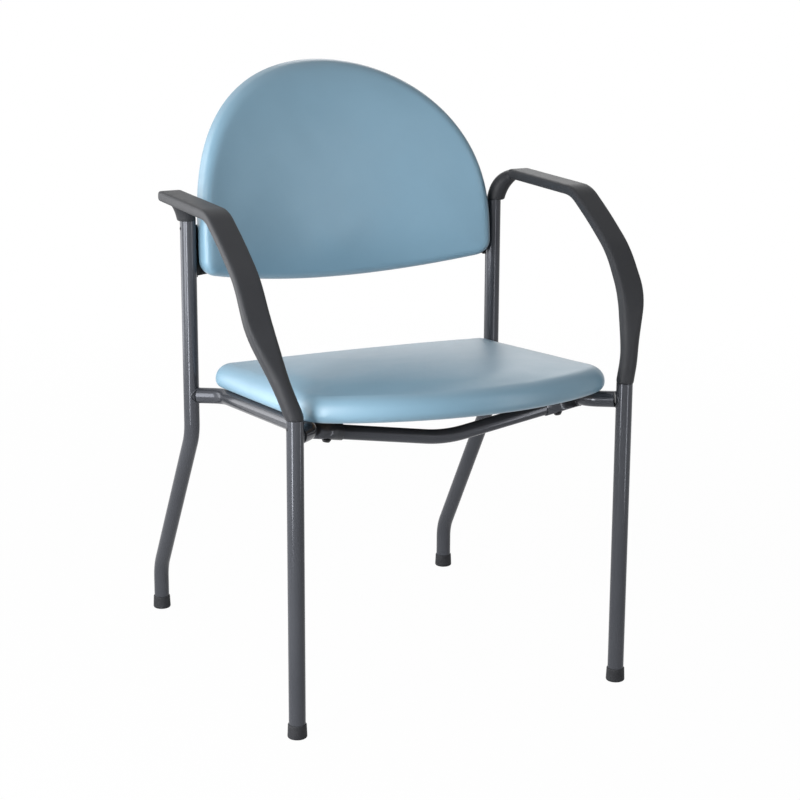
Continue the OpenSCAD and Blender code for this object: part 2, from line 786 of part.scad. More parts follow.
// Depth of the back's mid surface behind the front legs
function back_up(z) = (z - back_ref_z) / (back_top_z - back_ref_z);
function back_y(x, z) = upright_set + back_set + (z - back_ref_z) * tan(back_lean)
    + back_roll * pow(back_up(z), 2)
    - back_hollow * (1 - back_flat_share * back_up(z)) * pow(x / back_half_w, 2);

function laid_back(line, depth) = [for (p = line) [p[0], back_y(p[0], p[1]) + depth, p[1]]];

// Cushion rim from the rear face to the front face: inset as shares of the edge
// radius and depth as shares of the half thickness
back_rim_shares = [
    [0.35, 0.96], [0.08, 0.82], [0, 0.5], [0, 0], [0.03, -0.35],
    [0.16, -0.62], [0.45, -0.85], [0.95, -0.96]
];
back_inner_shares = [0.87, 0.7, 0.48, 0.25, 0.06];
shell_inner_shares = [0.85, 0.68, 0.5, 0.3, 0.08];
back_crown = 4;

module back_cushion() {
    rear = back_t / 2 - shell_t - soft_gap;
    front = back_t / 2;
    end = back_rim_shares[len(back_rim_shares) - 1];
    last = moved_in(back_outline, back_edge_r * end[0]);
    first = moved_in(back_outline, shell_rim);
    count = len(shell_inner_shares) - 1;
    color(pad_colour) skin(concat(
        [for (i = [count : -1 : 0]) laid_back(shrunk(first, back_mid, shell_inner_shares[i]), rear)],
        [laid_back(first, rear)],
        [for (s = back_rim_shares)
            laid_back(moved_in(back_outline, back_edge_r * s[0]),
                s[1] > 0 ? rear * s[1] : front * s[1])],
        [for (s = back_inner_shares)
            laid_back(shrunk(last, back_mid, s), front * end[1] - back_crown * (1 - s * s))]
    ));
}

module back_shell() {
    near = back_t / 2 - shell_t;
    far = back_t / 2;
    rim = moved_in(back_outline, shell_rim);
    step = moved_in(back_outline, shell_rim + shell_t / 2);
    count = len(shell_inner_shares) - 1;
    color(black_colour) difference() {
        skin(concat(
            [for (i = [count : -1 : 0]) laid_back(shrunk(step, back_mid, shell_inner_shares[i]), far)],
            [laid_back(step, far), laid_back(rim, far - shell_t / 2), laid_back(rim, near)],
            [for (s = shell_inner_shares) laid_back(shrunk(rim, back_mid, s), near)]
        ), true);
        for (side = [0, 1]) mirror([side, 0, 0])
            for (share = [bracket_screw_share, 1 - bracket_screw_share])
                shell_screw_axis(share) translate([0, 0, -over])
                    cylinder(r = screw_d / 2 + fit_gap, h = 2 * shell_t);
    }
}

// Bracket: a wrap round the inner rear of the upright, a web and a flange behind the shell
flange_end_x = back_half_w - shell_rim - bracket_land;
flange_screw_set = 17;
flange_x = flange_end_x + flange_screw_set;
flange_l = leg_x - tube_r - bracket_t - flange_end_x;
flange_z = (bracket_low_z + bracket_high_z) / 2;
flange_plan = atan(2 * back_hollow * (1 - back_flat_share * back_up(flange_z)) * flange_x
    / pow(back_half_w, 2));
flange_tilt = atan(tan(back_lean) + (2 * back_roll * back_up(flange_z)
    + back_hollow * back_flat_share * pow(flange_x / back_half_w, 2)) / (back_top_z - back_ref_z));
flange_gap = 1.3;
flange_bite_share = 0.6;

// Frame on the shell's rear face: +Z points forward into the shell
module flange_frame() {
    translate([flange_x, back_y(flange_x, flange_z) + back_t / 2 + flange_gap, flange_z])
        rotate([0, 0, -flange_plan]) rotate([90 - flange_tilt, 0, 0]) children();
}

module shell_screw_axis(share) {
    flange_frame() translate([0, bracket_h * (share - 1 / 2), 0]) children();
}

// Screw axis through the wrap: it heads for the middle of the upright.
module bracket_screw_axis(share) {
    translate([leg_x, upright_set, mix(bracket_low_z, bracket_high_z, share)])
        rotate([0, 0, bracket_screw_turn]) rotate([0, -90, 0])
            translate([0, 0, -tube_r - bracket_t]) children();
}

// The web between wrap and flange is a little smaller than both
web_inset = 0.4;
web_h = bracket_h - 2 * web_inset;

module back_bracket() {
    color(black_colour) difference() {
        union() {
            translate([leg_x, upright_set, bracket_low_z]) rotate([0, 0, bracket_wrap_start])
                rotate_extrude(angle = bracket_wrap) translate([bore_r, 0])
                    square([bracket_t + tube_wall, bracket_h]);
            for (share = [bracket_screw_share, 1 - bracket_screw_share])
                bracket_screw_axis(share) cylinder(r = screw_head_d / 2 + over, h = bracket_t + tube_wall);
            hull() {
                translate([leg_x - tube_r - bracket_t / 2, upright_set + tube_r - bracket_t,
                    bracket_low_z + web_inset]) cube([bracket_t, bracket_t, web_h]);
                flange_frame() translate([flange_l - flange_screw_set - bracket_t,
                    -web_h / 2, web_inset - bracket_t])
                    cube([bracket_t, web_h, bracket_t - 2 * web_inset]);
            }
            flange_frame() translate([flange_l - flange_screw_set, 0, -bracket_t])
                linear_extrude(height = bracket_t) tongue(flange_l, bracket_h, bracket_corner_r);
        }
        translate([leg_x, upright_set, bracket_low_z - bracket_h])
            cylinder(r = tube_r + weld_gap, h = 3 * bracket_h);
        for (share = [bracket_screw_share, 1 - bracket_screw_share]) {
            bracket_screw_axis(share) translate([0, 0, -over])
                cylinder(r = screw_d / 2 + hole_gap, h = bracket_t + tube_r);
            shell_screw_axis(share) translate([0, 0, -2 * bracket_t])
                cylinder(r = screw_d / 2 + hole_gap, h = 4 * bracket_t);
        }
    }
}

module back_screw(share) {
    shell_screw_axis(share) translate([0, 0, -bracket_t - fit_gap])
        screw(bracket_t + flange_gap + shell_t * flange_bite_share);
}

module bracket_screw(share) {
    bracket_screw_axis(share) translate([0, 0, -fit_gap]) screw(bracket_screw_l);
}

on_side(false) front_leg();  // front_leg_left
on_side() front_leg();  // front_leg_right
on_side(false) rear_leg();  // rear_leg_left
on_side() rear_leg();  // rear_leg_right
on_side(false) side_rail();  // side_rail_left
on_side() side_rail();  // side_rail_right
on_side(false) socket(front_bar_y);  // front_socket_left
on_side() socket(front_bar_y);  // front_socket_right
on_side(false) socket(rear_bar_y);  // rear_socket_left
on_side() socket(rear_bar_y);  // rear_socket_right
on_middle() crossbar(front_bar_y);  // front_crossbar
on_middle() crossbar(rear_bar_y);  // rear_crossbar
on_side(false) socket_screw(front_bar_y);  // front_socket_screw_left
on_side() socket_screw(front_bar_y);  // front_socket_screw_right
on_side(false) socket_screw(rear_bar_y);  // rear_socket_screw_left
on_side() socket_screw(rear_bar_y);  // rear_socket_screw_right
on_side(false) arm();  // arm_left
on_side() arm();  // arm_right
on_side(false) plug(0, front_leg_top);  // front_plug_left
on_side() plug(0, front_leg_top);  // front_plug_right
on_side(false) plug(upright_set, upright_top);  // rear_plug_left
on_side() plug(upright_set, upright_top);  // rear_plug_right
on_side(false) pin(0, front_leg_top);  // front_pin_left
on_side() pin(0, front_leg_top);  // front_pin_right
on_side(false) pin(upright_set, upright_top);  // rear_pin_left
on_side() pin(upright_set, upright_top);  // rear_pin_right
on_side(false) foot(0);  // front_foot_left
on_side() foot(0);  // front_foot_right
on_side(false) foot(foot_spread);  // rear_foot_left
on_side() foot(foot_spread);  // rear_foot_right
on_middle() seat_cushion();
on_middle() seat_board();
on_side(false) seat_tab(seat_screw_front_share);  // front_tab_left
on_side() seat_tab(seat_screw_front_share);  // front_tab_right
on_side(false) seat_tab(seat_screw_rear_share);  // rear_tab_left
on_side() seat_tab(seat_screw_rear_share);  // rear_tab_right
on_side(false) seat_screw(seat_screw_front_share);  // front_seat_screw_left
on_side() seat_screw(seat_screw_front_share);  // front_seat_screw_right
on_side(false) seat_screw(seat_screw_rear_share);  // rear_seat_screw_left
on_side() seat_screw(seat_screw_rear_share);  // rear_seat_screw_right
on_middle() back_cushion();
on_middle() back_shell();
on_side(false) back_bracket();  // back_bracket_left
on_side() back_bracket();  // back_bracket_right
on_side(false) back_screw(1 - bracket_screw_share);  // upper_back_screw_left
on_side() back_screw(1 - bracket_screw_share);  // upper_back_screw_right
on_side(false) back_screw(bracket_screw_share);  // lower_back_screw_left
on_side() back_screw(bracket_screw_share);  // lower_back_screw_right
on_side(false) bracket_screw(1 - bracket_screw_share);  // upper_bracket_screw_left
on_side() bracket_screw(1 - bracket_screw_share);  // upper_bracket_screw_right
on_side(false) bracket_screw(bracket_screw_share);  // lower_bracket_screw_left
on_side() bracket_screw(bracket_screw_share);  // lower_bracket_screw_right
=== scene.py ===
import json
import math

import bpy
import bmesh
import numpy as np
from mathutils import Matrix, Vector
from mathutils.kdtree import KDTree


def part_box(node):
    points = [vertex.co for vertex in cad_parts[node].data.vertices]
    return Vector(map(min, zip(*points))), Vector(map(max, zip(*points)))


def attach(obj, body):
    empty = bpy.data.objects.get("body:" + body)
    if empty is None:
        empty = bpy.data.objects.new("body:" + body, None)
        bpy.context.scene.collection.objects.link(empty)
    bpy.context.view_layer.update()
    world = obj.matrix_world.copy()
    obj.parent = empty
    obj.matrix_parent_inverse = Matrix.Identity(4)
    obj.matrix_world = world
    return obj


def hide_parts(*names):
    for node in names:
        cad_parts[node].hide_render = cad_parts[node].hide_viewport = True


# Shapes are in millimetres and radians. What Blender takes as it is, such as the camera's and the lamps'
# places and the distances of bumps, is in metres.

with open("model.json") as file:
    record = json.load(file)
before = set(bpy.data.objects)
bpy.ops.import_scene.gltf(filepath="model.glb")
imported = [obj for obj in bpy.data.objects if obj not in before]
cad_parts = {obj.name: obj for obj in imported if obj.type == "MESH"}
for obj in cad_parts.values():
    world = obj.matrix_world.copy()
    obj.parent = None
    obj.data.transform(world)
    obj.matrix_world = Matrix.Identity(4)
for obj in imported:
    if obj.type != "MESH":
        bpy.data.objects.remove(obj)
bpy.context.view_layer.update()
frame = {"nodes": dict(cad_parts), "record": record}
nodes = frame["nodes"]
scene = bpy.context.scene
scene.view_settings.view_transform = "Standard"


# Camera: the photograph's viewing angle, found from the chair's own lines

EYE = Vector((-1.19332, -2.577817, 1.099288))
PITCH = math.radians(14.384636)
TURN = math.radians(25.186834)
ROLL = math.radians(0.28361286)
LENS = 94.0576
SENSOR_WIDTH = 36
CLIP_START = 0.05
CLIP_END = 60


def photo_camera():
    ahead = Vector((math.sin(TURN) * math.cos(PITCH), math.cos(TURN) * math.cos(PITCH), -math.sin(PITCH)))
    side = ahead.cross(Vector((0, 0, 1))).normalized()
    above = side.cross(ahead)
    right = side * math.cos(ROLL) + above * math.sin(ROLL)
    up = above * math.cos(ROLL) - side * math.sin(ROLL)
    camera = bpy.data.objects.new("camera", bpy.data.cameras.new("camera"))
    scene.collection.objects.link(camera)
    camera.data.lens = LENS
    camera.data.sensor_width = SENSOR_WIDTH
    camera.data.clip_start = CLIP_START
    camera.data.clip_end = CLIP_END
    camera.matrix_world = Matrix((
        (right.x, up.x, -ahead.x, EYE.x),
        (right.y, up.y, -ahead.y, EYE.y),
        (right.z, up.z, -ahead.z, EYE.z),
        (0, 0, 0, 1)))
    return camera


scene.camera = photo_camera()


# Materials

RAMP_START = 0.3
RAMP_END = 0.7


def srgb(*rgb):
    """Linear colour from the 0 to 255 values that a picture shows."""
    return tuple((c / 255 / 12.92) if c <= 10 else ((c / 255 + 0.055) / 1.055) ** 2.4 for c in rgb)


class Nodes:
    """A material with its shader, and short calls to add nodes that feed it."""

    def __init__(self, name):
        self.material = bpy.data.materials.new(name)
        self.material.use_nodes = True
        self.tree = self.material.node_tree
        self.shader = self.tree.nodes["Principled BSDF"]
        self.place = self.add("ShaderNodeTexCoord").outputs["Object"]

    def add(self, kind, **settings):
        node = self.tree.nodes.new(kind)
        for key, value in settings.items():
            setattr(node, key, value)
        return node

    def link(self, output, socket):
        self.tree.links.new(output, socket)

    def noise(self, scale, detail, rough=0.5, stretch=None):
        node = self.add("ShaderNodeTexNoise")
        node.inputs["Scale"].default_value = scale
        node.inputs["Detail"].default_value = detail
        node.inputs["Roughness"].default_value = rough
        source = self.place
        if stretch:
            mapping = self.add("ShaderNodeMapping")
            mapping.inputs["Scale"].default_value = stretch
            self.link(source, mapping.inputs["Vector"])
            source = mapping.outputs["Vector"]
        self.link(source, node.inputs["Vector"])
        return node.outputs["Fac"]

    def wave(self, scale, direction, distortion=0.0):
        node = self.add("ShaderNodeTexWave", wave_type="BANDS", bands_direction=direction)
        node.inputs["Scale"].default_value = scale
        node.inputs["Distortion"].default_value = distortion
        self.link(self.place, node.inputs["Vector"])
        return node.outputs["Fac"]

    def cells(self, scale):
        node = self.add("ShaderNodeTexVoronoi")
        node.inputs["Scale"].default_value = scale
        self.link(self.place, node.inputs["Vector"])
        return node.outputs["Distance"]

    def product(self, a, b):
        node = self.add("ShaderNodeMath", operation="MULTIPLY")
        self.link(a, node.inputs[0])
        self.link(b, node.inputs[1])
        return node.outputs["Value"]

    def ramp(self, value, *colors):
        """Picture colours spread evenly over the middle of a noise's range."""
        node = self.add("ShaderNodeValToRGB")
        stops = node.color_ramp.elements
        stops[0].position, stops[1].position = RAMP_START, RAMP_END
        stops[0].color, stops[1].color = (*srgb(*colors[0]), 1), (*srgb(*colors[-1]), 1)
        step = (RAMP_END - RAMP_START) / (len(colors) - 1)
        for i, color in enumerate(colors[1:-1], 1):
            stops.new(RAMP_START + step * i).color = (*srgb(*color), 1)
        self.link(value, node.inputs["Fac"])
        return node.outputs["Color"]

    def span(self, value, low, high):
        node = self.add("ShaderNodeMapRange")
        node.inputs["To Min"].default_value = low
        node.inputs["To Max"].default_value = high
        self.link(value, node.inputs["Value"])
        return node.outputs["Result"]

    def bumps(self, *layers):
        """Bump nodes in a chain: each layer is (height, strength, distance)."""
        normal = None
        for height, strength, distance in layers:
            node = self.add("ShaderNodeBump")
            node.inputs["Strength"].default_value = strength
            node.inputs["Distance"].default_value = distance
            self.link(height, node.inputs["Height"])
            if normal:
                self.link(normal, node.inputs["Normal"])
            normal = node.outputs["Normal"]
        self.link(normal, self.shader.inputs["Normal"])

    def finish(self, color, rough, **sockets):
        self.link(color, self.shader.inputs["Base Color"])
        self.link(rough, self.shader.inputs["Roughness"])
        for key, value in sockets.items():
            self.shader.inputs[key.replace("_", " ")].default_value = value
        return self.material


def frame_paint():
    """Smooth dark grey paint with a faint metallic shine."""
    m = Nodes("frame_paint")
    color = m.ramp(m.noise(9, 3), (64, 66, 71), (69, 71, 76))
    m.bumps((m.noise(2600, 2), 0.04, 0.00008), (m.noise(420, 2), 0.015, 0.0002))
    return m.finish(color, m.span(m.noise(60, 3), 0.15, 0.18), Metallic=0.35, Specular_IOR_Level=0.35,
                    Specular_Tint=(0.6, 0.6, 0.62, 1))


def arm_plastic():
    """Charcoal moulded plastic with a fine leathery grain."""
    m = Nodes("arm_plastic")
    color = m.ramp(m.noise(14, 3), (42, 43, 46), (46, 47, 50))
    m.bumps((m.cells(1500), 0.3, 0.0002), (m.noise(500, 3), 0.15, 0.0003))
    return m.finish(color, m.span(m.noise(80, 3), 0.46, 0.54), Specular_IOR_Level=0.16, IOR=1.5)


def pad_cover():
    """Light blue vinyl with a soft sheen."""
    m = Nodes("pad_cover")
    color = m.ramp(m.noise(6, 4), (108, 140, 159), (114, 146, 165))
    m.bumps((m.noise(1700, 2), 0.25, 0.0002), (m.noise(240, 3), 0.08, 0.0005))
    return m.finish(color, m.span(m.noise(50, 3), 0.36, 0.42), Specular_IOR_Level=0.5, IOR=1.5)


def black_plastic():
    m = Nodes("black_plastic")
    color = m.ramp(m.noise(20, 3), (32, 33, 35), (38, 39, 41))
    m.bumps((m.cells(1100), 0.35, 0.0002), (m.noise(300, 2), 0.1, 0.0004))
    return m.finish(color, m.span(m.noise(70, 3), 0.48, 0.60), Specular_IOR_Level=0.2)


def foot_rubber():
    m = Nodes("foot_rubber")
    color = m.ramp(m.noise(120, 4), (34, 35, 38), (42, 43, 46))
    m.bumps((m.noise(1500, 3), 0.3, 0.0002))
    return m.finish(color, m.span(m.noise(200, 3), 0.55, 0.70), Specular_IOR_Level=0.2)


def fastener_steel():
    """Blackened steel with turning marks."""
    m = Nodes("fastener_steel")
    color = m.ramp(m.noise(400, 3), (40, 40, 42), (58, 58, 60))
    m.bumps((m.noise(2500, 2, stretch=(1, 1, 8)), 0.2, 0.0001))
    return m.finish(color, m.span(m.noise(300, 2), 0.32, 0.45), Metallic=0.8)


def plug_steel():
    """Bare turned steel."""
    m = Nodes("plug_steel")
    color = m.ramp(m.noise(300, 3), (150, 150, 152), (175, 175, 178))
    m.bumps((m.wave(900, "Z", 0.5), 0.1, 0.0001))
    return m.finish(color, m.span(m.noise(300, 2), 0.30, 0.42), Metallic=1.0)


def seat_plywood():
    m = Nodes("seat_plywood")
    grain = m.noise(40, 6, 0.6, stretch=(12, 1, 6))
    color = m.ramp(grain, (168, 132, 92), (190, 156, 114), (204, 172, 130))
    m.bumps((grain, 0.3, 0.0003), (m.noise(900, 3, stretch=(6, 1, 6)), 0.2, 0.0002))
    return m.finish(color, m.span(m.noise(60, 3), 0.55, 0.70))


def cover_cloth():
    """Black non-woven cloth with a pressed dot pattern."""
    m = Nodes("cover_cloth")
    color = m.ramp(m.noise(30, 4), (30, 30, 32), (40, 40, 42))
    dots = m.product(m.wave(260, "X"), m.wave(260, "Y"))
    m.bumps((dots, 0.4, 0.0003), (m.noise(900, 4, 0.7), 0.5, 0.0003))
    return m.finish(color, m.span(m.noise(200, 3), 0.80, 0.92), Specular_IOR_Level=0.2)


FINISHES = {f.__name__: f() for f in (frame_paint, arm_plastic, pad_cover, black_plastic,
                                      foot_rubber, fastener_steel, plug_steel, seat_plywood)}
MERGE_DISTANCE = 0.00001


def smooth(obj):
    """Shades a CAD node smooth between its sharp edges; the weld joins its doubled points."""
    weld = obj.modifiers.new("weld", "WELD")
    weld.merge_threshold = MERGE_DISTANCE
    obj.data.shade_smooth()


for part in frame["record"]["subparts"]:
    mesh = nodes[part["node"]].data
    mesh.materials.clear()
    mesh.materials.append(FINISHES[part["material_slot"]])
for obj in nodes.values():
    smooth(obj)


# Sizes of the frame and the arms, the same as in the part's source

tube_r = 11.1
leg_x = 239.0
upright_set = 387.0
foot_spread = 541.0
foot_sole = 3.5
leg_bend_r = 60.0
lower_bend_z = 66.0
upper_bend_drop = 57.5
front_leg_rise = 23.0
upright_rise = 250.5

rail_rear_z = 368.5
rail_rise = 34.5
rail_inset = 37.0
rail_bend_r = 40.0

bar_r = 9.75
bar_dip = math.radians(9.3)
bar_bend_r = 180.0
bar_insert = 38.0
front_bar_set = 60.0
rear_bar_set = 60.0
socket_reach = 53.0
front_socket_drop = 3.0
rear_socket_drop = 0.0

arm_w = 35.0
arm_t = 14.5
arm_rise = 46.5
arm_offset = 31.5
arm_end_r = 11.9
arm_edge_r = 4.0
arm_shin_set = 6.5
arm_knee_set = 41.0
arm_bow_set = 79.0
arm_shoulder_set = 133.0
arm_kink_set = 184.0
arm_rear_gap = 13.0
arm_neck = 3.0
arm_shift = 0.5
arm_shin_share = 0.3
arm_shin_rise = 30.0
arm_round_rise = 32.0
arm_knee_share = 0.478
arm_bow_share = 0.713
arm_shoulder_share = 0.872
arm_wide_share = 0.525
arm_thin_share = 0.814

rail_front_z = rail_rear_z + rail_rise
rail_slope = math.atan2(rail_rise, upright_set)
rail_span = math.hypot(upright_set, rail_rise)
rail_x = leg_x - rail_inset
front_leg_top = rail_front_z + front_leg_rise
upright_top = rail_rear_z + upright_rise
upper_bend_z = rail_rear_z - upper_bend_drop
arm_top_z = upright_top + arm_rise
arm_mid_z = arm_top_z - arm_t / 2
foot_low, foot_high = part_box("front_foot_left")
shift_y = (foot_low[1] + foot_high[1]) / 2


# Geometry

def vec(*v):
    return np.array(v, float)


def unit(v):
    v = np.asarray(v, float)
    return v / np.linalg.norm(v)


def mix(a, b, t):
    return a + (b - a) * t


def ease(t):
    t = min(max(t, 0.0), 1.0)
    return t * t * (3 - 2 * t)


def spread(a, b, n):
    """n equal steps from a to b, both of them included."""
    return [mix(a, b, i / n) for i in range(n + 1)]


def circle(n, start=0.0):
    """n angles round a full turn."""
    return [2 * math.pi * (k + start) / n for k in range(n)]


def quarter(n):
    """Angles in n equal steps over a quarter turn."""
    return [math.pi / 2 * i / n for i in range(n + 1)]


def divided(path, step):
    """A polyline with more points on its long stretches, about a step apart."""
    out = [path[0]]
    for a, b in zip(path[:-1], path[1:]):
        n = max(1, int(np.linalg.norm(b - a) / step))
        out += [mix(a, b, (k + 1) / n) for k in range(n)]
    return out


def rounded(corners, radius, step=3.0):
    """A polyline whose inner corners are arcs, with a point for each step of so many degrees."""
    path = [corners[0]]
    for a, b, c in zip(corners[:-2], corners[1:-1], corners[2:]):
        u, v = unit(b - a), unit(c - b)
        turn = math.acos(np.clip(u @ v, -1, 1))
        centre = b + unit(v - u) * radius / math.cos(turn / 2)
        start = b - u * radius * math.tan(turn / 2) - centre
        n = max(4, int(math.degrees(turn) / step))
        path += [centre + start * math.cos(w) + u * radius * math.sin(w)
                 for w in (turn * i / n for i in range(n + 1))]
    return path + [corners[-1]]


def sweep(path, radii, n, closed=False):
    """Rings of a round tube along a path, carried without twist, with one radius or one for each point."""
    m = len(path)
    rings, across = [], None
    for i in range(m):
        before, after = i - 1, i + 1
        if closed:
            after %= m
        else:
            before, after = max(before, 0), min(after, m - 1)
        t = unit(path[after] - path[before])
        if across is None:
            across = unit(np.cross(t, vec(0.31, 0.2, 0.93)))
        across = unit(across - t * (across @ t))
        upward = np.cross(t, across)
        r = radii[i] if isinstance(radii, list) else radii
        rings.append([path[i] + r * (across * math.cos(w) + upward * math.sin(w)) for w in circle(n)])
    return rings


def loft(rings, closed=False, ladder=False):
    """Points and faces of a skin over equal rings, capped at both ends by one face or a ladder of quads."""
    n, m = len(rings[0]), len(rings)
    points = [p for ring in rings for p in ring]
    faces = [(j % m * n + i, (j + 1) % m * n + i, (j + 1) % m * n + (i + 1) % n, j % m * n + (i + 1) % n)
             for j in range(m if closed else m - 1) for i in range(n)]
    if ladder:
        for base in (0, (m - 1) * n):
            caps = [tuple(dict.fromkeys((i, i + 1, (n - i - 1) % n, (n - i) % n))) for i in range(n // 2)]
            faces += [tuple(base + i for i in (reversed(f) if base else f)) for f in caps]
    elif not closed:
        faces += [tuple(range(n)), tuple((m - 1) * n + i for i in reversed(range(n)))]
    return points, faces


def joined(meshes):
    """The points and faces of several meshes as one."""
    points, faces = [], []
    for more_points, more_faces in meshes:
        faces += [tuple(i + len(points) for i in face) for face in more_faces]
        points += more_points
    return points, faces


# Objects

def make(name, shape, slot, mirrored=False, material=None):
    """Object from a shape's points and faces, in the material of its slot unless another is given."""
    points, faces = shape
    p = np.array(points, float) / 1000
    if mirrored:
        p[:, 0] *= -1
        faces = [tuple(reversed(f)) for f in faces]
    p[:, 1] += shift_y
    mesh = bpy.data.meshes.new(name)
    mesh.from_pydata([tuple(q) for q in p], [], faces)
    mesh.validate()
    solid = bmesh.new()
    solid.from_mesh(mesh)
    if solid.calc_volume(signed=True) < 0:
        bmesh.ops.reverse_faces(solid, faces=solid.faces)
    solid.to_mesh(mesh)
    solid.free()
    obj = bpy.data.objects.new(name, mesh)
    scene.collection.objects.link(obj)
    mesh.materials.append(material or FINISHES[slot])
    mesh.shade_smooth()
    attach(obj, "root")
    return obj


def both_sides(name, node, shape, slot):
    """A left and a right piece from the right side's shape, each in place of its CAD node if it has one."""
    out = []
    for label, mirrored in (("right", False), ("left", True)):
        obj = make(f"{name}_{label}", shape, slot, mirrored)
        if node:
            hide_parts(f"{node}_{label}")
        out.append(obj)
    return out


def flat_ends(obj):
    """Shades a swept tube smooth, with crisp ends."""
    chosen = dict(object=obj, active_object=obj, selected_objects=[obj], selected_editable_objects=[obj])
    with bpy.context.temp_override(**chosen):
        bpy.ops.object.shade_smooth_by_angle(angle=math.radians(50))


def apply_modifiers(obj):
    """The evaluated mesh takes the place of the object's own, with its materials."""
    graph = bpy.context.evaluated_depsgraph_get()
    graph.update()
    mesh = bpy.data.meshes.new_from_object(obj.evaluated_get(graph))
    obj.modifiers.clear()
    mesh.materials.clear()
    for material in obj.data.materials:
        mesh.materials.append(material)
    obj.data = mesh
    mesh.shade_smooth()


def blended(obj, voxel, rounds):
    """The object's parts become one voxel skin, smoothed so many rounds."""
    remesh = obj.modifiers.new("remesh", "REMESH")
    remesh.mode = "VOXEL"
    remesh.voxel_size = voxel / 1000
    remesh.use_smooth_shade = True
    soften = obj.modifiers.new("soften", "SMOOTH")
    soften.factor = 0.5
    soften.iterations = rounds
    apply_modifiers(obj)


# Tubes: legs, seat rails and crossbars

tube_sides = 48
leg_steps = 30
rail_sink = 2.5
rail_end = tube_r - rail_sink
bar_start = rail_x - (socket_reach - bar_insert) * math.cos(bar_dip)
bars = (("front", front_bar_set, front_socket_drop), ("rear", upright_set - rear_bar_set, rear_socket_drop))


def on_rail(s, inset):
    """A point of the right rail's plane, s forward of the upright and so far inboard of the legs."""
    return vec(leg_x - inset, upright_set - s * math.cos(rail_slope), rail_rear_z + s * math.sin(rail_slope))


def rail_z(y):
    return rail_front_z - rail_rise * y / upright_set


front_path = [vec(leg_x, 0, z) for z in np.linspace(foot_sole, front_leg_top, leg_steps)]
rear_path = rounded([vec(leg_x, foot_spread, foot_sole), vec(leg_x, foot_spread, lower_bend_z),
                     vec(leg_x, upright_set, upper_bend_z), vec(leg_x, upright_set, upright_top)], leg_bend_r)
rail_path = rounded([on_rail(rail_end, rail_end), on_rail(rail_inset, rail_inset),
                     on_rail(rail_span - rail_inset, rail_inset),
                     on_rail(rail_span - rail_end, rail_end)], rail_bend_r)
tubes = both_sides("leg_tube_front", "front_leg", loft(sweep(front_path, tube_r, tube_sides)), "frame_paint")
tubes += both_sides("leg_tube_rear", "rear_leg", loft(sweep(rear_path, tube_r, tube_sides)), "frame_paint")
tubes += both_sides("rail_tube", "side_rail", loft(sweep(rail_path, tube_r, tube_sides)), "frame_paint")
for name, y, drop in bars:
    mid_z = rail_z(y) - drop - rail_x * math.tan(bar_dip)
    end_z = mid_z + bar_start * math.tan(bar_dip)
    path = rounded([vec(-bar_start, y, end_z), vec(0, y, mid_z), vec(bar_start, y, end_z)], bar_bend_r, 1.5)
    bar = make("bar_tube_" + name, loft(sweep(path, bar_r, tube_sides)), "frame_paint")
    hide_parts(name + "_crossbar")
    tubes.append(bar)
for obj in tubes:
    flat_ends(obj)


# Weld beads where the rails meet the legs and the sockets meet the rails

bead_inner_r = tube_r - 0.7
bead_outer_r = tube_r + 0.2
leg_bead_r = 1.1
socket_bead_r = 1.0
bead_points = 96
bead_sides = 10
bead_ripples = 24
leg_bead_phase = 0.4
socket_bead_phase = 1.1
ripple_swell = 0.10
wander_swell = 0.06
wander_rate = 0.7
socket_far = 60


def bead_path(start, axis, other, other_axis):
    """Closed path where a tube along one axis meets the skin of a tube along another."""
    axis, other_axis = unit(axis), unit(other_axis)
    a = unit(np.cross(axis, vec(0.2, 0.1, 1)))
    b = np.cross(axis, a)
    path = []
    for w in circle(bead_points):
        p = start + bead_inner_r * (a * math.cos(w) + b * math.sin(w))
        gap = p - other
        gap, slant = gap - other_axis * (gap @ other_axis), axis - other_axis * (axis @ other_axis)
        qa, qb, qc = slant @ slant, 2 * (gap @ slant), gap @ gap - bead_outer_r ** 2
        reach = (-qb - math.sqrt(max(qb * qb - 4 * qa * qc, 0))) / (2 * qa)
        path.append(p + axis * reach)
    return path


def weld(name, path, bead_r, phase):
    """Beads on both sides of the chair, which swell a little at each ripple of the weld."""
    radii = [bead_r * (1 + ripple_swell * math.sin(2 * math.pi * i * bead_ripples / bead_points + phase)
                       + wander_swell * math.sin(i * wander_rate + phase)) for i in range(bead_points)]
    both_sides(name, None, loft(sweep(path, radii, bead_sides, closed=True), closed=True), "frame_paint")


rear_corner, front_corner = on_rail(rail_inset, rail_inset), on_rail(rail_span - rail_inset, rail_inset)
for name, corner, leg in (("rear", rear_corner, vec(leg_x, upright_set, rail_rear_z)),
                          ("front", front_corner, vec(leg_x, 0, rail_front_z))):
    weld(f"weld_{name}_leg", bead_path(corner, leg - corner, leg, vec(0, 0, 1)), leg_bead_r, leg_bead_phase)
for name, y, drop in bars:
    axis = vec(-math.cos(bar_dip), 0, -math.sin(bar_dip))
    far = vec(rail_x, y, rail_z(y) - drop) + axis * socket_far
    path = bead_path(far, -axis, vec(rail_x, y, rail_z(y)), front_corner - rear_corner)
    weld(f"weld_{name}_socket", path, socket_bead_r, socket_bead_phase)


# Arms: the pad's bar and the rear neck, blended into one moulded form

arm_rounds = (2.9, 14, 24, 24, 22, 18)
arm_round_steps = 14
arm_corner_steps = 8
arm_step = 4
arm_round_z = front_leg_top + arm_round_rise
arm_tip_shares = (0, 0.25, 0.5, 0.68, 0.82, 0.92, 0.98)
arm_voxel = 1.5
arm_softening = 8
neck_spread = 1.3
neck_shift = 2.6
neck_forward = 2.2
neck_lean = math.radians(22)
neck_r = arm_end_r + neck_spread
neck_steps = 24
neck_sides = 40


def arm_z(share):
    """The height at a share of the way from the front leg's top to the pad's middle."""
    return mix(front_leg_top, arm_mid_z, share)


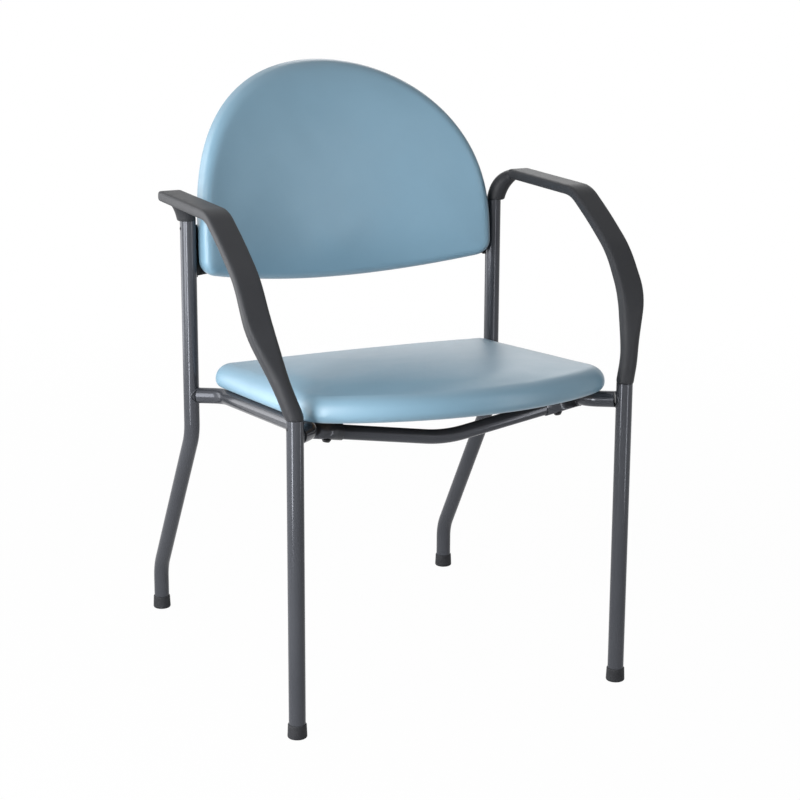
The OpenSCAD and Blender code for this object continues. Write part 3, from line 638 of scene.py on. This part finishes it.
def box_ring(centre, u, v, half_u, half_v, r):
    """A rounded rectangle across u and v."""
    ring = []
    for k in range(4):
        side_u, side_v = (1 if k in (0, 3) else -1), (1 if k < 2 else -1)
        for j in range(arm_corner_steps):
            t = math.pi / 2 * (k + (j + 0.5) / arm_corner_steps)
            ring.append(centre + u * (side_u * (half_u - r) + r * math.cos(t))
                        + v * (side_v * (half_v - r) + r * math.sin(t)))
    return ring


def bent(a, b, c, t):
    """The point at t on the curve that leaves a toward b and reaches c from b."""
    return mix(mix(a, b, t), mix(b, c, t), t)


def eased(a, b, c, length):
    """A curve round the corner b, from a length before it to a length after it."""
    p, q = b - unit(b - a) * length, b + unit(c - b) * length
    return [bent(p, b, q, t) for t in spread(0, 1, arm_round_steps)]


def bar_shape():
    """From the front leg up the shin, over the knee and back along the pad to its rounded rear end."""
    corners = [vec(arm_shift, 0, front_leg_top), vec(arm_shift, 0, front_leg_top + arm_neck),
               vec(arm_offset * arm_shin_share, arm_shin_set, front_leg_top + arm_shin_rise),
               vec(arm_offset, arm_knee_set, arm_z(arm_knee_share)),
               vec(arm_offset, arm_bow_set, arm_z(arm_bow_share)),
               vec(arm_offset, arm_shoulder_set, arm_z(arm_shoulder_share)),
               vec(arm_offset, arm_kink_set, arm_mid_z),
               vec(arm_offset, upright_set - arm_rear_gap - arm_t / 2, arm_mid_z)]
    path = [corners[0]]
    for a, b, c, length in zip(corners[:-2], corners[1:-1], corners[2:], arm_rounds):
        path += eased(a, b, c, length)
    path = divided(path + [corners[-1]], arm_step)
    rings = []
    for i, c in enumerate(path[:-1]):
        t = unit(path[i + 1] - path[max(i - 1, 0)])
        u = unit(vec(1, 0, 0) - t * t[0])
        wide = ease((c[2] - arm_round_z) / (arm_z(arm_wide_share) - arm_round_z))
        thin = ease((c[2] - arm_round_z) / (arm_z(arm_thin_share) - arm_round_z))
        a, b = mix(arm_end_r, arm_w / 2, wide), mix(arm_end_r, arm_t / 2, thin)
        rings.append(box_ring(c, u, np.cross(t, u), a, b, min(a, b, mix(arm_end_r, arm_edge_r, wide))))
    for share in arm_tip_shares:
        shrink = arm_t / 2 * (1 - math.sqrt(1 - share * share))
        rings.append(box_ring(path[-1] + vec(0, arm_t / 2 * share, 0), vec(1, 0, 0), vec(0, 0, -1),
                              arm_w / 2 - shrink, arm_t / 2 - shrink, max(arm_edge_r - shrink, 0.1)))
    return loft(rings)


def neck_shape():
    """From the upright's top, leaning outboard into the pad: two outlines, and round rings between them."""
    along = vec(math.cos(neck_lean), -math.sin(neck_lean), 0)
    across = vec(math.sin(neck_lean), math.cos(neck_lean), 0)
    pad_under_z = arm_top_z - arm_t
    outer = [vec(-neck_r, upright_top), vec(5 - neck_r, arm_top_z - 7), vec(0.78 * arm_offset, arm_top_z - 2)]
    inner = [vec(neck_r, upright_top), vec(neck_r + 5, mix(upright_top, pad_under_z, 0.69)),
             vec(1.12 * arm_offset, pad_under_z + 1)]
    rings = []
    for t in spread(0, 1, neck_steps):
        a, b = bent(*outer, t), bent(*inner, t)
        mid, half = (a + b) / 2, (a - b) / 2
        centre = vec(neck_shift, upright_set - neck_forward, mid[1]) + along * mid[0]
        v = along * half[0] + vec(0, 0, half[1])
        rings.append([centre + across * neck_r * math.cos(w) + v * math.sin(w)
                      for w in circle(neck_sides, 0.5)])
    return loft(rings)


arm_points, arm_faces = joined([bar_shape(), neck_shape()])
arm_points = [p + vec(leg_x, 0, 0) for p in arm_points]
for obj in both_sides("arm_pad", "arm", (arm_points, arm_faces), "arm_plastic"):
    blended(obj, arm_voxel, arm_softening)


# Seat cushion: a closed form from the source's outline, round its board

seat_w = 441.2
seat_rear_w = 436.6
seat_nose = 75.5
seat_front_r = 337.0
seat_corner_r = 60.0
seat_rear_corner_r = 24.0
seat_rear_gap = 26.5
seat_t = 39.0
seat_crown = 6.0
seat_under_l = 15.5
seat_under_h = 14.0
seat_edge_l = 23.5
seat_edge_h = 22.5
tab_rise = 1.5
soft_gap = 0.3
board_t = 12.0
board_rim = 28.0
board_gap = 0.8
recess_margin = 4.0

seat_out = 0.4
seat_thinner = 3.5
seat_front_steps = 14
seat_corner_steps = 14
seat_side_steps = 20
seat_rear_corner_steps = 10
seat_rear_steps = 12
seat_under_steps = 7
seat_edge_steps = 12
seat_rear_y = upright_set - seat_rear_gap
seat_base = tube_r + tab_rise + soft_gap
front_centre_y = seat_front_r - seat_nose
corner_x = seat_w / 2 - seat_corner_r
corner_y = front_centre_y - math.sqrt((seat_front_r - seat_corner_r) ** 2 - corner_x ** 2)
corner_turn = math.atan2(corner_x, front_centre_y - corner_y)


def seat_line(d):
    """The seat's outline in its own plane, moved in by d: front arc, corner, side, rear corner and rear."""
    r = max(seat_rear_corner_r, d + 2)
    x, y = seat_rear_w / 2 - r, seat_rear_y - r
    half = [((seat_front_r - d) * math.sin(t), front_centre_y - (seat_front_r - d) * math.cos(t))
            for t in (corner_turn * i / seat_front_steps for i in range(seat_front_steps + 1))]
    half += [(corner_x + (seat_corner_r - d) * math.sin(t), corner_y - (seat_corner_r - d) * math.cos(t))
             for t in spread(corner_turn, math.pi / 2, seat_corner_steps)[1:]]
    half += [(mix(seat_w / 2 - d, seat_rear_w / 2 - d, t), mix(corner_y, y, t))
             for t in spread(0, 1, seat_side_steps)[1:-1]]
    half += [(x + (r - d) * math.cos(t), y + (r - d) * math.sin(t))
             for t in quarter(seat_rear_corner_steps)]
    half += [(x * (1 - t), seat_rear_y - d) for t in spread(0, 1, seat_rear_steps)[1:]]
    return np.array(half + [(-p[0], p[1]) for p in reversed(half[1:-1])])


def shrunk(line, mid, s):
    return mid + (line - mid) * s


def seat_point(x, y, h):
    """A point of the rails' plane, at height h over their centre line."""
    c, s = math.cos(rail_slope), math.sin(rail_slope)
    return vec(x, y * c + h * s, rail_front_z - y * s + h * c)


def seat_place(line, h):
    return [seat_point(x, y, h) for x, y in line]


def seat_shape():
    """Ceiling and wall of the board's recess, underside, rim and crowned top.

    It is made thinner than the source's cushion, because the cloth then swells it."""
    rim = [(seat_under_l * (1 - math.sin(t)), seat_under_h * (1 - math.cos(t)))
           for t in quarter(seat_under_steps)]
    rim += [(seat_edge_l * (1 - math.cos(t)), seat_t - seat_edge_h * (1 - math.sin(t)))
            for t in quarter(seat_edge_steps)]
    mid = np.array([0, (seat_rear_y - seat_nose) / 2])
    wall, last = seat_line(board_rim - board_gap), seat_line(seat_edge_l - seat_out)
    ceiling = seat_base + board_t + soft_gap
    rings = [seat_place(shrunk(wall, mid, s), ceiling) for s in (0.1, 0.3, 0.5, 0.7, 0.87, 0.97, 0.995)]
    rings += [seat_place(wall, h) for h in (ceiling, ceiling - 1, seat_base + 1, seat_base)]
    rings += [seat_place(seat_line(board_rim - d), seat_base) for d in (2, 6)]
    rings += [seat_place(seat_line(d - seat_out), seat_base + h - seat_thinner * h / seat_t) for d, h in rim]
    rings += [seat_place(shrunk(last, mid, s), seat_base + seat_t - seat_thinner + seat_crown * (1 - s * s))
              for s in (0.93, 0.86, 0.78, 0.7, 0.6, 0.5, 0.4, 0.3, 0.2, 0.1)]
    return loft(rings, ladder=True)


def seat_held(points):
    """The underside and the board's recess stay where they are while the cloth swells."""
    c, s = math.cos(rail_slope), math.sin(rail_slope)
    behind, height = (points[:, 1] - shift_y) * 1000, points[:, 2] * 1000 - rail_front_z
    x, y, h = points[:, 0] * 1000, behind * c - height * s, behind * s + height * c
    line = seat_line(board_rim - recess_margin)
    step = np.roll(line, -1, 0) - line
    turn = step[:, 0] * (y[:, None] - line[:, 1]) - step[:, 1] * (x[:, None] - line[:, 0])
    inside = np.all(turn >= 0, axis=1) | np.all(turn <= 0, axis=1)
    return (h < seat_base + HELD_REACH) | (inside & (h < seat_base + board_t + 2))


# Back cushion: the same for the domed back, in front of its shell

back_gap = 3.9
back_drop = 43.0
back_dome = 247.0
back_skirt = 63.0
back_corner_r = 25.0
back_bow = 30.5
back_t = 48.0
back_hollow = 55.0
back_lean = math.radians(4.5)
back_roll = 48.0
back_set = 46.0
back_edge_share = 0.66
back_mid_share = 0.42
back_ref_rise = 20.0
back_flat_share = 0.14
back_power = 2.07
back_rise_power = 2.6
shell_rim_share = 0.48
shell_t = 5.0

back_thinner = 2.5
back_front_crown = 4.0
back_bottom_steps = 18
back_corner_steps = 12
back_dome_steps = 44
back_dome_gather = 1.25
back_half_w = leg_x - tube_r - back_gap
back_wide_z = upright_top - back_drop
back_top_z = back_wide_z + back_dome
back_bottom_z = back_wide_z - back_skirt
back_ref_z = back_wide_z + back_ref_rise
back_edge_r = back_edge_share * back_corner_r
shell_rim = shell_rim_share * back_corner_r
back_fall = math.atan(2 * back_bow * (back_half_w - back_corner_r) / back_half_w ** 2)
back_join_x = back_half_w - back_corner_r * (1 - math.sin(back_fall))
back_mid = np.array([0, mix(back_bottom_z, back_top_z, back_mid_share)])


def back_low_z(x):
    return back_bottom_z + back_bow * (x / back_half_w) ** 2


def back_y(x, z):
    """The back's middle surface: it leans, rolls back toward its top and is hollow across."""
    u = (z - back_ref_z) / (back_top_z - back_ref_z)
    return (upright_set + back_set + (z - back_ref_z) * math.tan(back_lean) + back_roll * u * u
            - back_hollow * (1 - back_flat_share * u) * (x / back_half_w) ** 2)


def back_line():
    """The back's outline, seen from the front: bowed bottom, corner and dome."""
    corner_z = back_low_z(back_join_x) + back_corner_r * math.cos(back_fall)
    half = [(x, back_low_z(x))
            for x in (back_join_x * i / back_bottom_steps for i in range(back_bottom_steps))]
    half += [(back_half_w - back_corner_r * (1 - math.sin(t)), corner_z - back_corner_r * math.cos(t))
             for t in spread(back_fall, math.pi / 2, back_corner_steps)]
    half += [(back_half_w * math.cos(t) ** (2 / back_power),
              back_wide_z + (back_top_z - back_wide_z) * math.sin(t) ** (2 / back_rise_power))
             for t in (math.pi / 2 * s ** back_dome_gather for s in spread(0, 1, back_dome_steps)[:-1])]
    half += [(0.0, back_top_z)]
    return np.array(half + [(-p[0], p[1]) for p in reversed(half[1:-1])])


def moved_in(line, d):
    t = np.roll(line, -1, 0) - np.roll(line, 1, 0)
    t /= np.linalg.norm(t, axis=1)[:, None]
    return line + np.stack([-t[:, 1], t[:, 0]], 1) * d


def laid_back(line, depth):
    return [vec(x, back_y(x, z) + depth, z) for x, z in line]


def back_shape():
    """Rear face, rim and crowned front. The rim's shares are of the edge's radius and of the depth behind
    or in front of the middle."""
    line = back_line()
    rear, front = back_t / 2 - shell_t - soft_gap, back_t / 2 - back_thinner
    rim = [(0.35, 0.96), (0.20, 0.91), (0.08, 0.82), (0.02, 0.67), (0, 0.5), (0, 0.25), (0, 0),
           (0.01, -0.18), (0.03, -0.35), (0.08, -0.5), (0.16, -0.62), (0.29, -0.75), (0.45, -0.85),
           (0.68, -0.93), (0.95, -0.96)]
    first, last = moved_in(line, shell_rim), moved_in(line, back_edge_r * 0.95)
    rings = [laid_back(shrunk(first, back_mid, s), rear) for s in (0.08, 0.2, 0.35, 0.5, 0.65, 0.8, 0.92, 1)]
    rings += [laid_back(moved_in(line, back_edge_r * a), (rear if b > 0 else front) * b) for a, b in rim]
    rings += [laid_back(shrunk(last, back_mid, s), front * rim[-1][1] - back_front_crown * (1 - s * s))
              for s in (0.95, 0.88, 0.8, 0.7, 0.6, 0.5, 0.38, 0.26, 0.14, 0.06)]
    return loft(rings, ladder=True)


def back_held(points):
    """The rear face stays where it is while the cloth swells."""
    behind = np.array([(y - shift_y) * 1000 - back_y(x * 1000, z * 1000) for x, y, z in points])
    return behind > back_t / 2 - shell_t - HELD_REACH


# Cloth: both cushions are swelled under pressure on a voxel copy, and their points follow it

CLOTH_VOXEL = 5.0
CLOTH_PRESSURE = 0.6
CLOTH_MASS = 0.3
CLOTH_QUALITY = 5
CLOTH_FRAMES = 20
HELD_REACH = 2.5
SWELL_CAP = 5.0
SKIN_ROUNDS = 6
EVEN_ROUNDS = 12
NEIGHBOURS = 8


def points_of(mesh):
    """The mesh's points in metres, one in a row."""
    values = np.empty(len(mesh.vertices) * 3)
    mesh.vertices.foreach_get("co", values)
    return values.reshape(-1, 3)


def evened(mesh, move, rounds):
    """Each point's move, averaged with those at the other ends of its edges."""
    edges = np.empty(len(mesh.edges) * 2, np.int32)
    mesh.edges.foreach_get("vertices", edges)
    one, two = edges.reshape(-1, 2).T
    share = np.bincount(np.concatenate([one, two]), minlength=len(move))[:, None]
    for _ in range(rounds):
        total = np.zeros_like(move)
        np.add.at(total, one, move[two])
        np.add.at(total, two, move[one])
        move = (move + total / share) / 2
    return move


def swelling(obj, held):
    """The points of a voxel copy, and how the pressed cloth moves each of them, in metres."""
    copy = obj.copy()
    copy.data = obj.data.copy()
    scene.collection.objects.link(copy)
    blended(copy, CLOTH_VOXEL, SKIN_ROUNDS)
    start = points_of(copy.data)
    pin = copy.vertex_groups.new(name="held")
    pin.add([int(i) for i in np.nonzero(held(start))[0]], 1.0, "REPLACE")
    cloth = copy.modifiers.new("cloth", "CLOTH")
    cloth.settings.vertex_group_mass = "held"
    cloth.settings.use_pressure = True
    cloth.settings.uniform_pressure_force = CLOTH_PRESSURE
    cloth.settings.effector_weights.gravity = 0
    cloth.settings.quality = CLOTH_QUALITY
    cloth.settings.mass = CLOTH_MASS
    cloth.point_cache.frame_start, cloth.point_cache.frame_end = 1, CLOTH_FRAMES
    for number in range(1, CLOTH_FRAMES + 1):
        scene.frame_set(number)
    apply_modifiers(copy)
    scene.frame_set(1)
    move = evened(copy.data, points_of(copy.data) - start, EVEN_ROUNDS)
    bpy.data.objects.remove(copy)
    length = np.linalg.norm(move, axis=1)[:, None]
    return start, move * np.minimum(1, SWELL_CAP / 1000 / np.maximum(length, 1e-9))


def puffed(obj, held):
    """Swells the cushion and makes its mesh finer."""
    start, move = swelling(obj, held)
    tree = KDTree(len(start))
    for i, p in enumerate(start):
        tree.insert(p, i)
    tree.balance()
    points = points_of(obj.data)
    for k, p in enumerate(points):
        near = tree.find_n(p, NEIGHBOURS)
        weights = np.array([1 / (d * d + 1e-6) for _, _, d in near])
        points[k] = p + weights @ move[[i for _, i, _ in near]] / weights.sum()
    obj.data.vertices.foreach_set("co", points.ravel())
    obj.data.update()
    finer = obj.modifiers.new("finer", "SUBSURF")
    finer.levels = finer.render_levels = 1
    apply_modifiers(obj)


seat_pad = make("seat_pad", seat_shape(), "pad_cover")
puffed(seat_pad, seat_held)
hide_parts("seat_cushion")


# Dust cover: thin cloth stretched under the seat, and the staples that hold it

cover_w = 156.0
cover_front = -22.0
cover_rear = 316.0
cover_r = 18.0
cover_thick = 0.5
cover_sag = 2.5
cover_pucker = 0.35
cover_mid = np.array([0, (cover_front + cover_rear) / 2])
staple_spacing = 34
staple_inset = 5
staple_r = 0.4
cover_gap = 0.15
cover_step = 6


def cover_line():
    """The cover's edge in the rails' plane: a rectangle with round corners."""
    right, left = cover_w - cover_r, cover_r - cover_w
    rear, front = cover_rear - cover_r, cover_front + cover_r
    edge = []
    for k, (x, y) in enumerate(((right, rear), (left, rear), (left, front), (right, front))):
        edge += [np.array([x + cover_r * math.cos(t), y + cover_r * math.sin(t)])
                 for t in (math.pi / 2 * (k + i / 8) for i in range(9))]
    return np.array(divided(edge + [edge[0]], cover_step)[:-1])


cover_edge = cover_line()
walk = np.cumsum(np.linalg.norm(np.roll(cover_edge, -1, 0) - cover_edge, axis=1))
staples = round(walk[-1] / staple_spacing)
staple_gap = walk[-1] / staples


def cover_ring(share, low):
    """A ring of the cloth: it hangs a little, and puckers between its staples."""
    sag = cover_sag * (1 - share ** 3)
    pucker = cover_pucker * share ** 6 * (1 - np.cos(2 * math.pi * walk / staple_gap))
    heights = seat_base - cover_gap - sag - pucker - (cover_thick if low else 0)
    return [seat_point(x, y, h) for (x, y), h in zip(shrunk(cover_edge, cover_mid, share), heights)]


def staple(number):
    """A bent wire along the cover's edge, with its legs up in the board."""
    k = int(np.argmin(abs(walk - (number + 0.5) * staple_gap)))
    at, ahead = cover_edge[k], unit(cover_edge[(k + 1) % len(cover_edge)] - cover_edge[k])
    at = mix(at, cover_mid, staple_inset / np.linalg.norm(at - cover_mid))
    wire = ((-5, 1.0), (-5, -0.9), (-4.4, -1.3), (4.4, -1.3), (5, -0.9), (5, 1.0))
    return loft(sweep([seat_point(*(at + ahead * u), seat_base + h) for u, h in wire], staple_r, 8))


cover_shares = (0.04, 0.15, 0.3, 0.45, 0.6, 0.72, 0.82, 0.9, 0.95, 0.98, 1.0)
cover_rings = [cover_ring(s, True) for s in cover_shares]
cover_rings += [cover_ring(s, False) for s in reversed(cover_shares)]
cover = make("seat_dust_cover", loft(cover_rings), "black_plastic", material=cover_cloth())
make("seat_staples", joined([staple(i) for i in range(staples)]), "plug_steel")

back_pad = make("back_pad", back_shape(), "pad_cover")
puffed(back_pad, back_held)
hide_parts("back_cushion")


# Stage: a plain white floor and a white world, both dim for the light that they give, and soft lamps

FLOOR_SIZE = 30
FLOOR_MIDDLE = (0, 6, 0)
FLOOR_MATTE = (0.45, 0.45, 0.45, 1)
FLOOR_NEAR = 0.8
FLOOR_FAR = 2.4
FLOOR_NEAR_GLOW = 0.985
WORLD_LIGHT = 0.1


def seen(tree):
    """1 for the rays that look at the background: the camera's, reflected and transmitted ones."""
    path = tree.nodes.new("ShaderNodeLightPath")
    value = path.outputs["Is Camera Ray"]
    for name in ("Is Glossy Ray", "Is Transmission Ray"):
        node = tree.nodes.new("ShaderNodeMath")
        node.operation = "MAXIMUM"
        tree.links.new(value, node.inputs[0])
        tree.links.new(path.outputs[name], node.inputs[1])
        value = node.outputs[0]
    return value


def floor_white():
    """White where it is looked at, a little less so near the chair, and matte for the lamps' light."""
    material = bpy.data.materials.new("floor_white")
    material.use_nodes = True
    tree = material.node_tree
    tree.nodes.clear()
    out = tree.nodes.new("ShaderNodeOutputMaterial")
    both = tree.nodes.new("ShaderNodeMixShader")
    glow = tree.nodes.new("ShaderNodeEmission")
    matte = tree.nodes.new("ShaderNodeBsdfDiffuse")
    matte.inputs["Color"].default_value = FLOOR_MATTE
    place = tree.nodes.new("ShaderNodeNewGeometry")
    away = tree.nodes.new("ShaderNodeVectorMath")
    away.operation = "LENGTH"
    fade = tree.nodes.new("ShaderNodeMapRange")
    fade.inputs["From Min"].default_value = FLOOR_NEAR
    fade.inputs["From Max"].default_value = FLOOR_FAR
    fade.inputs["To Min"].default_value = FLOOR_NEAR_GLOW
    share = tree.nodes.new("ShaderNodeMath")
    share.operation = "MULTIPLY"
    tree.links.new(place.outputs["Position"], away.inputs[0])
    tree.links.new(away.outputs["Value"], fade.inputs["Value"])
    tree.links.new(seen(tree), share.inputs[0])
    tree.links.new(fade.outputs["Result"], share.inputs[1])
    tree.links.new(share.outputs[0], both.inputs[0])
    tree.links.new(matte.outputs[0], both.inputs[1])
    tree.links.new(glow.outputs[0], both.inputs[2])
    tree.links.new(both.outputs[0], out.inputs["Surface"])
    return material


def white_world():
    world = bpy.data.worlds.new("world")
    world.use_nodes = True
    tree = world.node_tree
    background = tree.nodes["Background"]
    background.inputs["Color"].default_value = (1, 1, 1, 1)
    level = tree.nodes.new("ShaderNodeMapRange")
    level.inputs["To Min"].default_value = WORLD_LIGHT
    tree.links.new(seen(tree), level.inputs["Value"])
    tree.links.new(level.outputs["Result"], background.inputs["Strength"])
    return world


def lamp(name, at, target, width, height, power):
    """An area lamp that the camera doesn't see. It looks from one point, in metres, to another."""
    light = bpy.data.lights.new(name, "AREA")
    light.shape = "RECTANGLE"
    light.size, light.size_y = width, height
    light.energy = power
    obj = bpy.data.objects.new(name, light)
    scene.collection.objects.link(obj)
    obj.visible_camera = False
    obj.location = at
    obj.rotation_euler = (Vector(at) - Vector(target)).to_track_quat("Z", "Y").to_euler()


bpy.ops.mesh.primitive_plane_add(size=FLOOR_SIZE, location=FLOOR_MIDDLE)
floor = bpy.context.object
floor.name = "floor"
floor.data.materials.append(floor_white())
scene.world = white_world()

lamp("key", (-1.58, -0.25, 0.75), (0, 0, 0.6), 0.7, 1.2, 20)
lamp("key_side", (-1.55, 0.40, 0.75), (0, 0, 0.6), 2.0, 1.4, 6)
lamp("key_rear", (-1.25, 1.25, 0.75), (0, 0, 0.6), 1.2, 1.4, 16)
lamp("box_left", (-1.05, -0.68, 0.72), (0, 0, 0.72), 0.2, 1.4, 15)
lamp("panel_left", (-2.0, -1.4, 0.9), (0, 0, 0.5), 1.5, 1.5, 17)
lamp("front", (-1.3, -2.9, 1.3), (0, 0, 0.5), 1.6, 1.6, 2)
lamp("strip_right", (0.444, -0.783, 0.74), (0, 0, 0.74), 0.09, 1.3, 2.6)
lamp("top", (0, 0, 2.6), (0, 0, 0.45), 2.2, 2.2, 4)
lamp("rear", (1.3, 2.2, 1.4), (0, 0, 0.45), 1.4, 1.4, 10)
